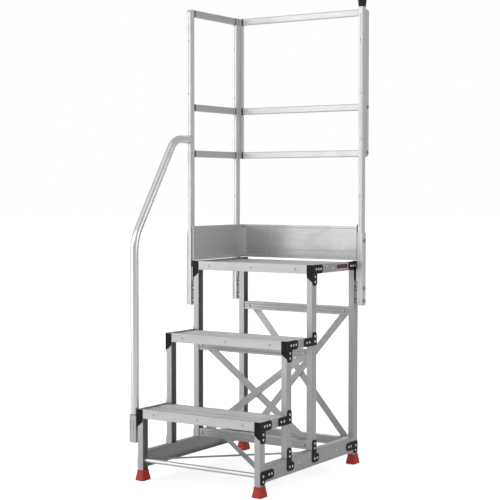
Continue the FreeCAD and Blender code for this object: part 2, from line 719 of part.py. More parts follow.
def bent_tube(radius):
    """Tube along straight runs joined by tangent arcs."""
    route = [(handrail_y, handrail_foot), (handrail_y, lower_corner_z)]
    route += [(upper_corner_y, handrail_height), (handrail_end_y, handrail_height)]
    points = [Vector(handrail_x, y, z) for y, z in route]
    edges = []
    start = points[0]
    for i, bend in ((1, lower_bend), (2, upper_bend)):
        back = (points[i - 1] - points[i]).normalize()
        ahead = (points[i + 1] - points[i]).normalize()
        half_angle = back.getAngle(ahead) / 2
        enter = points[i] + back * (bend / math.tan(half_angle))
        leave = points[i] + ahead * (bend / math.tan(half_angle))
        middle = points[i] + (back + ahead).normalize() * (bend / math.sin(half_angle) - bend)
        edges += [Part.makeLine(start, enter), Part.Arc(enter, middle, leave).toShape()]
        start = leave
    edges.append(Part.makeLine(start, points[3]))
    ring = Part.Wire(Part.makeCircle(radius, points[0], Vector(0, 0, 1)))
    return Part.Wire(edges).makePipeShell([ring], True, False)


save("handrail", bent_tube(handrail_radius).cut(bent_tube(handrail_radius - 2.0)))


def handrail_socket():
    """Block clamped to the front left leg that the handrail stands in."""
    bottom, top = 157.0, 272.0
    reach = 348.5
    front = -3.6
    back = -half - 6.0
    sides = [(-reach, front, 11), (back, front, 2), (back, 38, 2), (-reach, 38, 9)]
    body = prism(sides, in_xy(bottom), Vector(0, 0, top - bottom))
    pad = box(back, -half, 4, 33, 162, 206)
    bore = rod(Vector(handrail_x, handrail_y, handrail_foot), Vector(0, 0, 1), handrail_radius, top)
    slots = [box(x - 0.8, x + 0.8, -6, 4, 205, 255) for x in (-338.0, -322.0)]
    return body.fuse(pad).cut([bore] + slots).removeSplitter()


save("handrail_socket", handrail_socket())
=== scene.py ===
# %% [markdown]
# # A three-step aluminium work platform
#
# This lesson dresses a measured model of a small work platform: two side frames of channel
# legs, two treads, a deck, a guard with toe boards and a bent handrail. The measured solids
# give every size and place. Here they get their finishes, and the small pieces that catch
# the eye (brackets, rivets, screws, boots, caps) are made again with softer edges.

# %% Load the measured platform
import bpy
import bmesh
import json
import math
from mathutils import Matrix, Vector

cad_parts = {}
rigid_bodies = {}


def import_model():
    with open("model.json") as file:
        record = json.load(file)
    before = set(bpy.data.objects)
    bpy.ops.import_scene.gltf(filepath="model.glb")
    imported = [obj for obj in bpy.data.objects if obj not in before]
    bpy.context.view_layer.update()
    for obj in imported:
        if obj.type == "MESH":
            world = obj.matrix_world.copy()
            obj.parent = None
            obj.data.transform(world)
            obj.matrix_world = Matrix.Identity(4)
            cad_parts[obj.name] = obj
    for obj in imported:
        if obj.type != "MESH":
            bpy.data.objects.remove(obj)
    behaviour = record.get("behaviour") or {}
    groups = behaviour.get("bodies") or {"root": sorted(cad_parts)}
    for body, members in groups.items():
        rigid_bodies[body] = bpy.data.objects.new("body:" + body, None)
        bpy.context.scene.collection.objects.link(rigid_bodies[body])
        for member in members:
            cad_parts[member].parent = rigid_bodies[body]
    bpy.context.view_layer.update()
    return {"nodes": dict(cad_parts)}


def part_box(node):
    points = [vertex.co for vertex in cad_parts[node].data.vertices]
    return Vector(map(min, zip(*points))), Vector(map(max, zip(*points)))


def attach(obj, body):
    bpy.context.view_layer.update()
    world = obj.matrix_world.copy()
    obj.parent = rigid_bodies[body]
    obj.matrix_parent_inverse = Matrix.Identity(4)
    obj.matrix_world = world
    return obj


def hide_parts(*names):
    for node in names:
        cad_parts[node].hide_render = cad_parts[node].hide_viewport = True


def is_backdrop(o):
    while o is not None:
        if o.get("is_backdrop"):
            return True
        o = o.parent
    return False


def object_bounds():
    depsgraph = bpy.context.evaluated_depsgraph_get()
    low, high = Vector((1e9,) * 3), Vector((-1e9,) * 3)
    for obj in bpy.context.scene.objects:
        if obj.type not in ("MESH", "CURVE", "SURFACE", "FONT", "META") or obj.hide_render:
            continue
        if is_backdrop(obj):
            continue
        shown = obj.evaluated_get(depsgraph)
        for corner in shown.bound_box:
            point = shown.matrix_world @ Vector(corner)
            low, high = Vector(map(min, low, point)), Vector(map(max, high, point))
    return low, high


for leftover in list(bpy.data.objects):
    bpy.data.objects.remove(leftover)
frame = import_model()

# %% [markdown]
# ## Helpers for meshes
#
# Every new piece is a bmesh turned into an object that stays at the origin, with its place
# in its mesh. A piece is finished by giving it a material, the body it rides on and the
# measured nodes that it stands for.

# %% Mesh helpers
MM = 0.001


def shade(bm, mesh, smooth_below):
    """Write a bmesh to a mesh, shaded smooth except at edges sharper than the angle."""
    for edge in bm.edges:
        edge.smooth = edge.is_manifold and edge.calc_face_angle(0.0) < math.radians(smooth_below)
    for face in bm.faces:
        face.smooth = True
    bm.to_mesh(mesh)
    bm.free()


def in_scene(name, data):
    """A new object with this mesh, light or camera."""
    made = bpy.data.objects.new(name, data)
    bpy.context.scene.collection.objects.link(made)
    return made


def new_piece(name, bm, smooth_below=40.0):
    """An object from a bmesh, with its faces turned outwards."""
    mesh = bpy.data.meshes.new(name)
    bmesh.ops.recalc_face_normals(bm, faces=bm.faces)
    shade(bm, mesh, smooth_below)
    return in_scene(name, mesh)


def as_built(piece):
    """The piece with its modifiers turned into plain mesh."""
    bpy.context.view_layer.update()
    graph = bpy.context.evaluated_depsgraph_get()
    mesh = bpy.data.meshes.new_from_object(piece.evaluated_get(graph))
    piece.modifiers.clear()
    piece.data = mesh
    return piece


def fit(piece, material, slot, *stands_for):
    """Finish a piece: its material, its body and the nodes it stands for; slot is not used."""
    if material is not None:
        piece.data.materials.clear()
        piece.data.materials.append(material)
    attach(piece, "root")
    if stands_for:
        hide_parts(*stands_for)
    print(f"{piece.name}: {len(piece.data.polygons)} faces")
    return piece


print("sizes are in metres, and one millimetre is", MM)

# %% [markdown]
# ## Helpers for shader and geometry node trees
#
# Both kinds of tree are built the same way: a list of named sockets, then nodes whose
# inputs are either plain values or links from other nodes.

# %% Node helpers
def add(tree, kind, inputs=None, **settings):
    """A node; each of its inputs takes a value or another node's output."""
    made = tree.nodes.new(kind)
    for name, value in settings.items():
        setattr(made, name, value)
    for key, value in (inputs or {}).items():
        if isinstance(value, bpy.types.NodeSocket):
            tree.links.new(value, made.inputs[key])
        else:
            made.inputs[key].default_value = value
    return made


def new_group(name, kind, inputs, outputs):
    """A node group with named sockets, and its input and output nodes."""
    tree = bpy.data.node_groups.new(name, kind)
    for label, socket_kind, default in inputs:
        socket = tree.interface.new_socket(label, in_out="INPUT", socket_type=socket_kind)
        if default is not None:
            socket.default_value = default
    for label, socket_kind in outputs:
        tree.interface.new_socket(label, in_out="OUTPUT", socket_type=socket_kind)
    return tree, tree.nodes.new("NodeGroupInput").outputs, tree.nodes.new("NodeGroupOutput").inputs


def maths(tree, operation, a, b=0.0, c=0.0, clamp=False):
    """The result of a Math node; c is used by MULTIPLY_ADD only."""
    return add(tree, "ShaderNodeMath", {0: a, 1: b, 2: c}, operation=operation, use_clamp=clamp).outputs[0]


def object_place(tree):
    """Where a point is on the object, so that patterns stay on the metal."""
    return add(tree, "ShaderNodeTexCoord").outputs["Object"]


def noise(tree, place, scale, detail, **more):
    """Cloudy noise at a number of blotches per metre."""
    inputs = {"Vector": place, "Scale": scale, "Detail": detail}
    inputs.update({key.capitalize(): value for key, value in more.items()})
    return add(tree, "ShaderNodeTexNoise", inputs).outputs[0]


def ramp(tree, value, low, high, start=0.0, end=1.0):
    """Value from low to high turned into start to end, and held there outside."""
    return add(tree, "ShaderNodeMapRange", {"Value": value, "From Min": low, "From Max": high,
                                            "To Min": start, "To Max": end}).outputs[0]


print("node helpers:", ", ".join(helper.__name__ for helper in (add, new_group, maths, noise, ramp)))

# %% [markdown]
# ## Shared surface effects
#
# Four effects return on almost every finish of the real platform. Drawn aluminium keeps
# fine lines along the way it left the die. Handled metal has cloudy patches. Edges are a
# little rounded, and painted ones wear through. Dust settles on what faces up. The nodes
# could be laid out again in each material. Each effect is one shader group instead, so
# that a change to it reaches every material.

# %% Drawn lines and cloudy handling marks
FLOAT, VECTOR = "NodeSocketFloat", "NodeSocketVector"


def drawn_lines_group():
    """Noise squeezed along one axis: fine die lines, and broad bands that lie with them."""
    tree, given, out = new_group(
        "drawn_lines", "ShaderNodeTree",
        [("Stretch", VECTOR, (1.0, 1.0, 1.0)), ("Lines per metre", FLOAT, 400.0)],
        [("Fine", FLOAT), ("Broad", FLOAT)])
    stretched = add(tree, "ShaderNodeMapping", {
        "Vector": object_place(tree), "Scale": given["Stretch"]}).outputs[0]
    fine = noise(tree, stretched, given["Lines per metre"], 3.0, roughness=0.65)
    bands_per_metre = maths(tree, "MULTIPLY", given["Lines per metre"], 0.14)
    tree.links.new(fine, out["Fine"])
    tree.links.new(noise(tree, stretched, bands_per_metre, 2.0), out["Broad"])
    return tree


def handling_group():
    """Patches where hands have dulled the surface; more coverage lowers the threshold."""
    tree, given, out = new_group(
        "handling_marks", "ShaderNodeTree",
        [("Patches per metre", FLOAT, 9.0), ("Coverage", FLOAT, 0.5)], [("Mask", FLOAT)])
    cloud = noise(tree, object_place(tree), given["Patches per metre"], 5.0, roughness=0.6, distortion=0.4)
    low = maths(tree, "SUBTRACT", 0.72, maths(tree, "MULTIPLY", given["Coverage"], 0.4))
    tree.links.new(ramp(tree, cloud, low, maths(tree, "ADD", low, 0.22)), out["Mask"])
    return tree


drawn_lines = drawn_lines_group()
handling = handling_group()
print("groups:", drawn_lines.name, handling.name)


# %% Worn edges, soft edges and settled dust
def edge_group():
    """Normal is the surface with its edges rounded; Mask is the broken-up wear along them."""
    tree, given, out = new_group(
        "worn_edges", "ShaderNodeTree",
        [("Radius", FLOAT, 0.0012), ("Wear", FLOAT, 0.5)], [("Normal", VECTOR), ("Mask", FLOAT)])
    rounded = add(tree, "ShaderNodeBevel", {"Radius": given["Radius"]}, samples=4).outputs[0]
    surface = add(tree, "ShaderNodeNewGeometry")
    same = add(tree, "ShaderNodeVectorMath", {0: rounded, 1: surface.outputs["Normal"]},
               operation="DOT_PRODUCT").outputs["Value"]
    edge = maths(tree, "MULTIPLY", maths(tree, "SUBTRACT", 1.0, same), 6.0, clamp=True)
    chips_per_metre = 260.0
    broken = ramp(tree, noise(tree, object_place(tree), chips_per_metre, 4.0), 0.46, 0.6)
    mask = maths(tree, "MULTIPLY", maths(tree, "MULTIPLY", edge, broken), given["Wear"])
    tree.links.new(rounded, out["Normal"])
    tree.links.new(mask, out["Mask"])
    return tree


def dust_group():
    """Uneven dust on every face that looks upward."""
    tree, given, out = new_group(
        "settled_dust", "ShaderNodeTree", [("Amount", FLOAT, 0.3)], [("Mask", FLOAT)])
    surface = add(tree, "ShaderNodeNewGeometry")
    upward = add(tree, "ShaderNodeSeparateXYZ", {0: surface.outputs["Normal"]}).outputs["Z"]
    drifts_per_metre = 14.0
    uneven = ramp(tree, noise(tree, object_place(tree), drifts_per_metre, 6.0), 0.3, 0.7, start=0.3)
    mask = maths(tree, "MULTIPLY", ramp(tree, upward, 0.35, 0.95), uneven)
    tree.links.new(maths(tree, "MULTIPLY", mask, given["Amount"], clamp=True), out["Mask"])
    return tree


worn_edges = edge_group()
settled_dust = dust_group()
print("groups:", worn_edges.name, settled_dust.name)

# %% [markdown]
# ## Aluminium
#
# The frame, the treads and the guard are the same metal with different finishes: mill
# finish on the legs, a duller ribbed face on the treads, a paler anodised skin on the
# guard, and a smoother drawn tube for the handrail. The members that run front to back
# and the side guard rails get darker copies of the mill and anodised finishes, which
# paint shade onto their side faces. Each could be a tree of its own, but one function
# keeps them a family. The lines follow the way each section was drawn, so it needs to
# know the axis the piece runs along.

# %% Aluminium finishes
ALONG = 0.012        # a small scale along the run stretches the noise about eighty times
STRETCH = {"X": (ALONG, 1.0, 1.0), "Y": (1.0, ALONG, 1.0), "Z": (1.0, 1.0, ALONG)}
DUST = (0.52, 0.50, 0.46, 1.0)


def blend(tree, amount, a, b, share=1.0):
    """Colour a turning into colour b as amount goes from 0 to 1, or part of the way to it."""
    if share != 1.0:
        amount = maths(tree, "MULTIPLY", amount, share)
    return add(tree, "ShaderNodeMix", {"Factor": amount, "A": a, "B": b}, data_type="RGBA").outputs["Result"]


def effect(tree, content, **inputs):
    """The outputs of a shared effect, placed with this material's own values."""
    placed = add(tree, "ShaderNodeGroup", None, node_tree=content)
    for key, value in inputs.items():
        placed.inputs[key.replace("_", " ")].default_value = value
    return placed.outputs


def scaled(colour, factor):
    """A lighter or darker shade of a colour."""
    return (*[min(1.0, channel * factor) for channel in colour[:3]], 1.0)


def new_material(name):
    """A material with its node tree and its one shader."""
    material = bpy.data.materials.new(name)
    material.use_nodes = True
    return material, material.node_tree, material.node_tree.nodes["Principled BSDF"]


def roughened(tree, shader, rough, dusty, amount):
    """Link Roughness, with dust making the surface duller still."""
    dulled = maths(tree, "ADD", rough, maths(tree, "MULTIPLY", dusty, amount), clamp=True)
    tree.links.new(dulled, shader.inputs["Roughness"])


def fine_relief(tree, shader, height, normal, strength):
    """Link Normal: a tenth of a millimetre of relief over the softened edges."""
    bump = add(tree, "ShaderNodeBump", {"Height": height, "Normal": normal, "Distance": 0.1 * MM,
                                        "Strength": strength})
    tree.links.new(bump.outputs[0], shader.inputs["Normal"])


def aluminium(name, run, colour, roughness, metal=0.82, lines=420.0, dust=0.25):
    """Bare or plated metal drawn along the axis run; lines is how many lie in a metre."""
    material, tree, shader = new_material(name)
    drawn = effect(tree, drawn_lines, Stretch=STRETCH[run], Lines_per_metre=lines)
    marks = effect(tree, handling, Patches_per_metre=7.0, Coverage=0.5)["Mask"]
    edges = effect(tree, worn_edges, Radius=0.9 * MM, Wear=0.6)
    dusty = effect(tree, settled_dust, Amount=dust)["Mask"]
    streaked = blend(tree, drawn["Broad"], scaled(colour, 0.86), scaled(colour, 1.1))
    lined = blend(tree, drawn["Fine"], streaked, scaled(colour, 0.8), share=0.35)
    cloudy = blend(tree, marks, lined, scaled(colour, 0.82), share=0.35)
    bright = blend(tree, edges["Mask"], cloudy, scaled(colour, 1.18))
    tree.links.new(blend(tree, dusty, bright, DUST), shader.inputs["Base Color"])
    lines_rough = maths(tree, "MULTIPLY_ADD", drawn["Fine"], 0.16, roughness - 0.08)
    rough = maths(tree, "ADD", lines_rough, maths(tree, "MULTIPLY", marks, 0.1))
    roughened(tree, shader, rough, dusty, 0.3)
    tree.links.new(maths(tree, "MULTIPLY", maths(tree, "SUBTRACT", 1.0, dusty), metal),
                   shader.inputs["Metallic"])
    fine_relief(tree, shader, drawn["Fine"], edges["Normal"], 0.5)
    return material


MILL = (0.54, 0.543, 0.555)
ANODISED = (0.80, 0.803, 0.815)
mill = {run: aluminium("mill_aluminium_" + run, run, MILL, 0.42) for run in "XZ"}
# A darker copy of the mill finish for the members that run front to back: painted shade on their side faces.
mill["Y"] = aluminium("mill_aluminium_Y", "Y", (0.49, 0.492, 0.50), 0.42)
anodised = {run: aluminium("anodised_aluminium_" + run, run, ANODISED, 0.4, dust=0.12) for run in "XYZ"}
# The side guard rails show their inner faces: this darker copy of the anodised finish paints shade onto them.
shaded_side_rail_finish = aluminium("anodised_side_rail_painted_shade", "Y", (0.64, 0.643, 0.66), 0.4, dust=0.1)
tread_face = aluminium("ribbed_tread_aluminium", "X", (0.67, 0.67, 0.67), 0.5, metal=0.8, dust=0.15)
board_face = aluminium("rolled_board_aluminium", "X", (0.60, 0.605, 0.62), 0.27, lines=300.0, dust=0.1)
tube_face = aluminium("drawn_tube_aluminium", "Z", (0.88, 0.885, 0.89), 0.24, lines=260.0, dust=0.1)
tie_tube_face = aluminium("drawn_tie_tube_aluminium", "X", (0.84, 0.845, 0.85), 0.32, lines=260.0, dust=0.1)
print("aluminium finishes:", len(mill) + len(anodised), "by run, and",
      ", ".join(m.name for m in (shaded_side_rail_finish, tread_face, board_face, tube_face, tie_tube_face)))

# %% [markdown]
# ## Darker valleys between the ribs
#
# The valleys between the tread ribs are made darker than the rib tops. A striped pattern
# could do it, but it would have to match the ribs exactly. The three walking surfaces lie
# one rise apart, so height alone tells a rib's top from its valley on any tread. The
# nosing is higher than the ribs and keeps its plain colour.


# %% Darker valleys on the treads
def rib_valley_group(rise, lift):
    """Mask of the valleys; with lift added, a valley's height is a whole number of rises."""
    tree, _, out = new_group("rib_valley_darkening", "ShaderNodeTree", [], [("Mask", FLOAT)])
    place = object_place(tree)
    height = add(tree, "ShaderNodeSeparateXYZ", {0: place}).outputs["Z"]
    above_valley = maths(tree, "MODULO", maths(tree, "ADD", height, lift), rise)
    low = ramp(tree, above_valley, 0.3 * MM, 0.8 * MM, start=1.0, end=0.0)
    smears_per_metre = 18.0
    uneven = ramp(tree, noise(tree, place, smears_per_metre, 5.0), 0.25, 0.7, start=0.45)
    tree.links.new(maths(tree, "MULTIPLY", low, uneven), out["Mask"])
    return tree


VALLEY_DARK = (0.17, 0.17, 0.165, 1.0)
tread_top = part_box("tread_lower")[1].z
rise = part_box("tread_middle")[1].z - tread_top
valley_drop = 8.2 * MM         # the valleys lie this far below a tread's highest edge
rib_valley_darkening = rib_valley_group(rise, valley_drop + rise - tread_top % rise)
tree = tread_face.node_tree
tread_colour = tree.nodes["Principled BSDF"].inputs["Base Color"]
rib_top_colour = tread_colour.links[0].from_socket
darkened_valleys = blend(tree, effect(tree, rib_valley_darkening)["Mask"], rib_top_colour, VALLEY_DARK, share=0.75)
tree.links.new(darkened_valleys, tread_colour)
print("darker rib valleys on treads", round(rise, 3), "m apart")

# %% [markdown]
# ## Black powder coat, rubber, zinc and dark plastic
#
# The corner plates are powder coated: a fine orange-peel skin, a thin gloss, and bare
# metal where an edge has been knocked. The boots are soft red rubber with cloudy scuffs.
# Screws are zinc plated steel, and the rivets are bare aluminium. Paint, rubber and plastic
# differ only in colour, gloss and grain, so one function with those values makes them all.

# %% Coated, moulded and plated finishes
def moulded(name, colour, roughness, grain=1400.0, wear=0.0, worn=None, dust=0.3, coat=0.0, sheen=0.5):
    """Paint, rubber or plastic: a grained skin, cloudy wear, and a second colour along worn edges."""
    material, tree, shader = new_material(name)
    shader.inputs["Coat Roughness"].default_value = 0.2
    shader.inputs["Coat Weight"].default_value = coat
    shader.inputs["Specular IOR Level"].default_value = sheen
    marks = effect(tree, handling, Patches_per_metre=26.0, Coverage=0.6)["Mask"]
    edges = effect(tree, worn_edges, Radius=1.0 * MM, Wear=wear)
    dusty = effect(tree, settled_dust, Amount=dust)["Mask"]
    skin = noise(tree, object_place(tree), grain, 2.0)
    cloudy = blend(tree, marks, scaled(colour, 1.0), scaled(colour, 1.35), share=0.5)
    bare = blend(tree, edges["Mask"], cloudy, scaled(worn or colour, 1.0))
    tree.links.new(blend(tree, dusty, bare, DUST), shader.inputs["Base Color"])
    rough = maths(tree, "ADD", maths(tree, "MULTIPLY", marks, 0.14), roughness)
    roughened(tree, shader, rough, dusty, 0.4)
    if worn:
        tree.links.new(maths(tree, "MULTIPLY", edges["Mask"], 0.9), shader.inputs["Metallic"])
    fine_relief(tree, shader, skin, edges["Normal"], 0.4)
    return material


black_coat = moulded("black_powder_coat", (0.008, 0.008, 0.009), 0.34, wear=0.4, worn=(0.3, 0.3, 0.31),
                     dust=0.02, coat=0.05, sheen=0.14)
red_rubber = moulded("red_rubber", (0.46, 0.032, 0.013), 0.55, grain=900.0, wear=0.35, dust=0.15)
black_rubber = moulded("black_rubber", (0.009, 0.009, 0.009), 0.5, grain=900.0, dust=0.06, sheen=0.3)
dark_plastic = moulded("dark_plastic", (0.05, 0.05, 0.055), 0.45, dust=0.1)
zinc = aluminium("zinc_plated_steel", "X", (0.50, 0.50, 0.52), 0.3, metal=0.95, lines=900.0, dust=0.05)
rivet_metal = aluminium("bare_rivet_aluminium", "X", (0.78, 0.78, 0.79), 0.24, metal=0.95, lines=900.0,
                        dust=0.03)
enamel = moulded("dark_red_enamel", (0.085, 0.018, 0.02), 0.4, dust=0.1)
print("other finishes:", black_coat.name, red_rubber.name, zinc.name)

# %% [markdown]
# ## Dress the measured nodes
#
# Most of the platform is straight extrusions that the measured model already has right:
# legs, beams, rails, ties, braces, treads, boards and tubes. They stay, and each gets the
# finish whose lines run the way the section was drawn. The name of a node says what it is,
# so a short table from the start of a name to a finish is enough.

# %% Finishes of the carried-over nodes
# Members that run front to back take the darker mill copy, and the side guard rails take the darker anodised
# copy; both paint shade onto their side faces.
FINISHES = (
    ("leg_", mill["Z"]), ("bottom_beam", mill["Y"]), ("lower_step_rail", mill["Y"]),
    ("middle_step_rail", mill["Y"]), ("platform_rail", mill["Y"]), ("tie_", mill["X"]),
    ("front_tie_tube", tie_tube_face), ("brace_", mill["X"]), ("floor_brace", mill["Y"]),
    ("tread_lower", tread_face), ("tread_middle", tread_face), ("platform_deck", tread_face),
    ("guard_socket", anodised["Z"]), ("guard_post", anodised["Z"]),
    ("side_guard_rail", shaded_side_rail_finish), ("back_guard_rail", anodised["X"]),
    ("back_guard_upright", anodised["Z"]), ("toe_board_left", anodised["Y"]),
    ("toe_board_back", board_face), ("handrail_socket", mill["Z"]), ("handrail", tube_face),
    ("guard_fasteners", zinc), ("frame_screws", zinc))

dressed = 0
for name, node in frame["nodes"].items():
    finish = next((material for start, material in FINISHES if name.startswith(start)), None)
    if finish is not None:
        dressed += 1
        for slot in node.material_slots:
            slot.material = finish
print("dressed:", dressed, "of", len(frame["nodes"]))

# %% [markdown]
# ## Corner plates with eased edges
#
# On the real platform the black plates are pressed or cast, and their edges catch a thin
# highlight. They could be drawn again from nothing, but their outlines are measured
# already. So a copy of each is merged, its flat faces are joined again, and a bevel
# modifier eases the edges.


# %% Eased copies of the measured plates
def merged_mesh(node_name):
    """A bmesh copy of a measured node, with the loose triangles joined at their corners."""
    bm = bmesh.new()
    bm.from_mesh(frame["nodes"][node_name].data)
    bmesh.ops.remove_doubles(bm, verts=bm.verts, dist=0.01 * MM)
    return bm


def ease_edges(piece, width, from_angle, harden):
    """Round every edge sharper than from_angle degrees."""
    easing = piece.modifiers.new("eased edges", "BEVEL")
    easing.width = width
    easing.segments = 3
    easing.limit_method = "ANGLE"
    easing.angle_limit = math.radians(from_angle)
    easing.harden_normals = harden
    return as_built(piece)


plate_edge = 0.7 * MM
for node_name in ("tread_corner_brackets", "leg_joint_brackets", "base_brackets"):
    bm = merged_mesh(node_name)
    bmesh.ops.dissolve_limit(bm, angle_limit=math.radians(2.0), verts=bm.verts, edges=bm.edges)
    plates = ease_edges(new_piece(node_name + "_eased", bm, 32.0), plate_edge, 40.0, True)
    fit(plates, black_coat, "black_bracket", node_name)

# %% [markdown]
# ## Points for fasteners
#
# Rivets and screws repeat, so Geometry Nodes set them rather than copies made by hand. A
# fastener needs a place and a direction: a small mesh of loose points carries both, the
# direction as an attribute. The places are read from the measured fasteners, by splitting
# their node into loose parts.


# %% Loose parts of a node
def loose_parts(node_name):
    """Lowest and highest corner of each separate solid in a measured node."""
    bm = merged_mesh(node_name)
    seen, parts = set(), []
    for start in bm.verts:
        if start in seen:
            continue
        seen.add(start)
        stack, members = [start], []
        while stack:
            vertex = stack.pop()
            members.append(vertex.co.copy())
            for edge in vertex.link_edges:
                other = edge.other_vert(vertex)
                if other not in seen:
                    seen.add(other)
                    stack.append(other)
        low = Vector([min(point[i] for point in members) for i in range(3)])
        high = Vector([max(point[i] for point in members) for i in range(3)])
        parts.append((low, high))
    bm.free()
    return parts


def points(name, places):
    """A mesh of loose points, each with the direction its fastener faces."""
    mesh = bpy.data.meshes.new(name)
    mesh.from_pydata([place for place, _ in places], [], [])
    facing = mesh.attributes.new("facing", "FLOAT_VECTOR", "POINT")
    for entry, (_, direction) in zip(facing.data, places):
        entry.vector = direction
    return in_scene(name, mesh)


rivet_parts = loose_parts("bracket_rivets")
screw_parts = loose_parts("frame_screws")
guard_parts = loose_parts("guard_fasteners")
print("rivets:", len(rivet_parts), "frame fasteners:", len(screw_parts), "guard fasteners:", len(guard_parts))

# %% [markdown]
# ## Fastener trees
#
# Each tree builds one fastener out of simple meshes, with its sizes as named inputs, and
# hands it to a shared group that stands a copy on every point. The group turns each copy
# by a random angle about its own axis, because nobody lines up screws by hand.

# %% The group that stands a fastener on every point
GEOMETRY, MATERIAL, INTEGER = "NodeSocketGeometry", "NodeSocketMaterial", "NodeSocketInt"


def standing_group():
    """Stands a fastener on each point, along its facing attribute, turned at random."""
    tree, given, out = new_group(
        "stand_on_points", "GeometryNodeTree",
        [("Points", GEOMETRY, None), ("Fastener", GEOMETRY, None), ("Seed", INTEGER, 1),
         ("Material", MATERIAL, None)], [("Geometry", GEOMETRY)])
    facing = add(tree, "GeometryNodeInputNamedAttribute", {"Name": "facing"}, data_type="FLOAT_VECTOR")
    upright = add(tree, "FunctionNodeAlignRotationToVector", {"Vector": facing.outputs[0]}, axis="Z")
    stood = add(tree, "GeometryNodeInstanceOnPoints", {
        "Points": given["Points"], "Instance": given["Fastener"], "Rotation": upright.outputs[0]})
    turn = add(tree, "FunctionNodeRandomValue", {"Max": (0.0, 0.0, math.tau), "Seed": given["Seed"]},
               data_type="FLOAT_VECTOR")
    turned = add(tree, "GeometryNodeRotateInstances", {
        "Instances": stood.outputs[0], "Rotation": turn.outputs[0]})
    real = add(tree, "GeometryNodeRealizeInstances", {"Geometry": turned.outputs[0]})
    painted = add(tree, "GeometryNodeSetMaterial", {
        "Geometry": real.outputs[0], "Material": given["Material"]})
    tree.links.new(painted.outputs[0], out["Geometry"])
    return tree


stand_on_points = standing_group()


def moved(tree, geometry, along):
    """A mesh moved along the fastener's axis."""
    place = add(tree, "ShaderNodeCombineXYZ", {"Z": along}).outputs[0]
    return add(tree, "GeometryNodeTransform", {"Geometry": geometry, "Translation": place}).outputs[0]


def rod(tree, radius, depth, vertices):
    """A round disc or shank about the fastener's axis, centred on the origin."""
    return add(tree, "GeometryNodeMeshCylinder", {
        "Vertices": vertices, "Radius": radius, "Depth": depth}).outputs["Mesh"]


def finish_tree(tree, given, out, parts):
    """Join a fastener's parts and hand them to the group that stands them on the points."""
    joined = tree.nodes.new("GeometryNodeJoinGeometry")
    for part in parts:
        tree.links.new(part, joined.inputs[0])
    stood = add(tree, "GeometryNodeGroup", None, node_tree=stand_on_points)
    links = {"Points": given["Points"], "Fastener": joined.outputs[0], "Seed": given["Seed"],
             "Material": given["Material"]}
    for key, source in links.items():
        tree.links.new(source, stood.inputs[key])
    tree.links.new(stood.outputs[0], out["Geometry"])
    return tree


def fastener_sockets(*sizes):
    """Sockets that every fastener tree has, with its own sizes in millimetres between them."""
    common = [("Points", GEOMETRY, None)] + [(label, FLOAT, value * MM) for label, value in sizes]
    return common + [("Seed", INTEGER, 1), ("Material", MATERIAL, None)], [("Geometry", GEOMETRY)]


print("shared group:", stand_on_points.name)


# %% Domed rivet, cross-recessed screw and washer
def rivet_tree():
    """A flattened ball on a thin flange, with a shank and the tail that its setting leaves."""
    inputs, outputs = fastener_sockets(("Head radius", 5.6), ("Head height", 2.2), ("Shank length", 5.0))
    tree, given, out = new_group("domed_rivet", "GeometryNodeTree", inputs, outputs)
    size = add(tree, "ShaderNodeCombineXYZ", {"X": given["Head radius"], "Y": given["Head radius"],
                                              "Z": given["Head height"]}).outputs[0]
    ball = add(tree, "GeometryNodeMeshUVSphere", {"Segments": 20, "Rings": 10, "Radius": 1.0}).outputs["Mesh"]
    dome = add(tree, "GeometryNodeTransform", {"Geometry": ball, "Scale": size}).outputs[0]
    flange = moved(tree, rod(tree, given["Head radius"], 0.7 * MM, 20), 0.3 * MM)
    shank = rod(tree, maths(tree, "MULTIPLY", given["Head radius"], 0.44), given["Shank length"], 10)
    tail = rod(tree, maths(tree, "MULTIPLY", given["Head radius"], 0.6), 1.4 * MM, 12)
    shank_middle = maths(tree, "MULTIPLY", given["Shank length"], -0.5)
    tail_middle = maths(tree, "MULTIPLY", given["Shank length"], -1.15)
    return finish_tree(tree, given, out, [dome, flange, moved(tree, shank, shank_middle),
                                          moved(tree, tail, tail_middle)])


def screw_tree():
    """A low tapered head with a cross cut into it, on a short shank."""
    inputs, outputs = fastener_sockets(("Head radius", 4.6), ("Head height", 1.8), ("Slot width", 1.1))
    tree, given, out = new_group("cross_screw", "GeometryNodeTree", inputs, outputs)
    radius, height, slot = given["Head radius"], given["Head height"], given["Slot width"]
    top = maths(tree, "MULTIPLY", radius, 0.78)
    head = add(tree, "GeometryNodeMeshCone", {
        "Vertices": 20, "Radius Top": top, "Radius Bottom": radius, "Depth": height}).outputs["Mesh"]
    recess = add(tree, "GeometryNodeMeshBoolean", {"Mesh 1": head}, operation="DIFFERENCE", solver="EXACT")
    slot_length = maths(tree, "MULTIPLY", radius, 1.15)
    for first, second in ((slot_length, slot), (slot, slot_length)):
        size = add(tree, "ShaderNodeCombineXYZ", {"X": first, "Y": second, "Z": height}).outputs[0]
        bar = add(tree, "GeometryNodeMeshCube", {"Size": size}).outputs["Mesh"]
        cutter = moved(tree, bar, maths(tree, "MULTIPLY", height, 0.95))
        tree.links.new(cutter, recess.inputs["Mesh 2"])
    shank_length = 8.0 * MM
    shank = rod(tree, maths(tree, "MULTIPLY", radius, 0.5), shank_length, 10)
    return finish_tree(tree, given, out, [recess.outputs[0], moved(tree, shank, -shank_length / 2)])


def washer_tree():
    """A thin disc that lies on the face."""
    inputs, outputs = fastener_sockets(("Radius", 11.0), ("Thickness", 1.4))
    tree, given, out = new_group("plain_washer", "GeometryNodeTree", inputs, outputs)
    plate = rod(tree, given["Radius"], given["Thickness"], 28)
    half = maths(tree, "MULTIPLY", given["Thickness"], 0.5)
    return finish_tree(tree, given, out, [moved(tree, plate, half)])


domed_rivet, cross_screw, plain_washer = rivet_tree(), screw_tree(), washer_tree()
print("trees:", domed_rivet.name, cross_screw.name, plain_washer.name)

